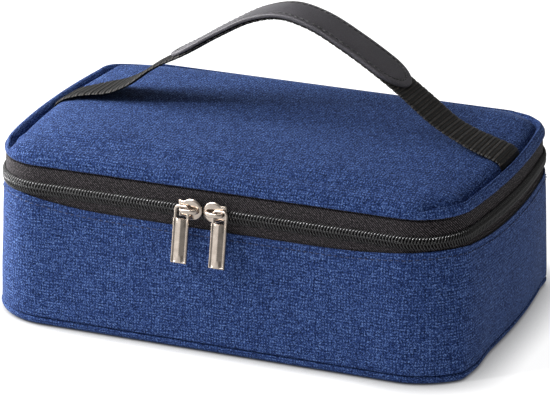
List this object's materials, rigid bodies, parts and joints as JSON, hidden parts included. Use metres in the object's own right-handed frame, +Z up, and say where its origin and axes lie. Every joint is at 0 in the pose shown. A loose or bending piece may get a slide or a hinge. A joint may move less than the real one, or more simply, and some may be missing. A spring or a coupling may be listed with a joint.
{
  "type": "soft lunch box",
  "caption": "Low rectangular insulated lunch bag with rounded corners, a zipped lid hinged at the back, metal zip sliders with bar pulls, and an arched webbing handle with a padded grip.",
  "frame": {"origin": "middle of the flat underside, on the surface that the bag stands on", "axes": "+Z up, +X along the long side to the right seen from the front, -Y towards the front where the two zip sliders meet"},
  "size_m": [0.2474, 0.1636, 0.1453],
  "materials": {
    "blue_fabric": "heather blue woven polyester, matt, with light and dark threads",
    "white_foam": "closed-cell foam sheet, matt",
    "silver_lining": "silver foil laminate, crinkled, semi-gloss",
    "black_binding": "woven binding tape, matt",
    "black_tape": "twill zip tape, matt",
    "black_nylon": "nylon coil, slight sheen",
    "black_webbing": "ribbed polypropylene webbing, matt",
    "grey_leather": "fine-grained artificial leather, satin",
    "satin_nickel": "satin nickel plate, warm"
  },
  "bodies": {
    "root": {"bottom_panel": "blue_fabric", "floor_foam": "white_foam", "body_side_band": "blue_fabric", "front_wall_foam": "white_foam", "back_wall_foam": "white_foam", "left_wall_foam": "white_foam", "right_wall_foam": "white_foam", "wall_lining": "silver_lining", "floor_lining": "silver_lining", "body_rim_binding": "black_binding", "body_zip_tape": "black_tape", "body_zip_coil": "black_nylon", "body_hinge_strip": "blue_fabric"},
    "lid": {"lid_zip_tape": "black_tape", "lid_zip_coil": "black_nylon", "lid_hinge_strip": "blue_fabric", "lid_side_band": "blue_fabric", "lid_top_panel": "blue_fabric", "lid_foam": "white_foam", "lid_lining": "silver_lining", "lid_rim_binding": "black_binding", "left_strap_end": "black_webbing", "right_strap_end": "black_webbing"},
    "handle": {"handle_webbing": "black_webbing", "handle_grip": "grey_leather"},
    "left_slider_body": {"left_slider": "satin_nickel"},
    "right_slider_body": {"right_slider": "satin_nickel"},
    "left_pull_body": {"left_slider_pull": "satin_nickel"},
    "right_pull_body": {"right_slider_pull": "satin_nickel"}
  },
  "joints": [
    {"name": "lid_hinge", "type": "hinge", "parent": "root", "child": "lid", "pos_m": [0, 0.0769, 0.0695], "axis": [-1, 0, 0], "range_deg": [0, 110]},
    {"name": "handle_swing", "type": "hinge", "parent": "lid", "child": "handle", "pos_m": [0, 0.005, 0.0875], "axis": [1, 0, 0], "range_deg": [-40, 45]},
    {"name": "left_slider_run", "type": "slide", "parent": "root", "child": "left_slider_body", "axis": [-1, 0, 0], "range_m": [0, 0.0722]},
    {"name": "right_slider_run", "type": "slide", "parent": "root", "child": "right_slider_body", "axis": [1, 0, 0], "range_m": [0, 0.0808]},
    {"name": "left_pull_swing", "type": "hinge", "parent": "left_slider_body", "child": "left_pull_body", "pos_m": [-0.0139, -0.0799, 0.0695], "axis": [0, 0.9816, -0.1908], "range_deg": [-8, 90]},
    {"name": "right_pull_swing", "type": "hinge", "parent": "right_slider_body", "child": "right_pull_body", "pos_m": [0.0051, -0.0799, 0.0695], "axis": [0, -0.9816, 0.1908], "range_deg": [-8, 90]}
  ]
}
